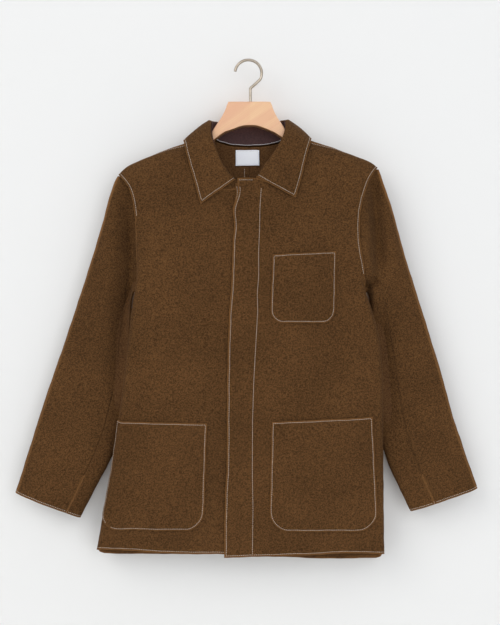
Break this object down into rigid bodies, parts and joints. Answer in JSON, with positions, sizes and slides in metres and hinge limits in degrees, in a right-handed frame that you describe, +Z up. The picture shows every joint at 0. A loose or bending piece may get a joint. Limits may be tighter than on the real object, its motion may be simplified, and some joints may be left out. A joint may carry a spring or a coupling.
{
  "type": "blazer on a coat hanger",
  "caption": "Hip-length boiled-wool blazer with a turned-down pointed collar, covered button front and patch pockets, hanging flat on a wooden hanger with a wire hook.",
  "frame": {"origin": "the highest place on the inside of the hook's crook, where it rests on its peg", "axes": "+Z up; the front faces -Y; +X to the wearer's left, along the hanger"},
  "size_m": [0.8577, 0.0837, 0.9311],
  "materials": {
    "wool": "matt olive-brown boiled wool with raw edges",
    "felt": "matt maroon-brown collar felt",
    "satin": "smooth white woven label, blank",
    "maple": "satin-lacquered pale maple",
    "nickel": "satin nickel-plated wire"
  },
  "bodies": {
    "root": {"front_left": "wool", "front_right": "wool", "fly_strip": "wool", "back_left": "wool", "back_right": "wool", "sleeve_left": "wool", "sleeve_right": "wool", "collar": "wool", "collar_stand": "felt", "chest_pocket": "wool", "pocket_left": "wool", "pocket_right": "wool", "label": "satin", "hanger": "maple", "hook": "nickel"}
  },
  "joints": []
}
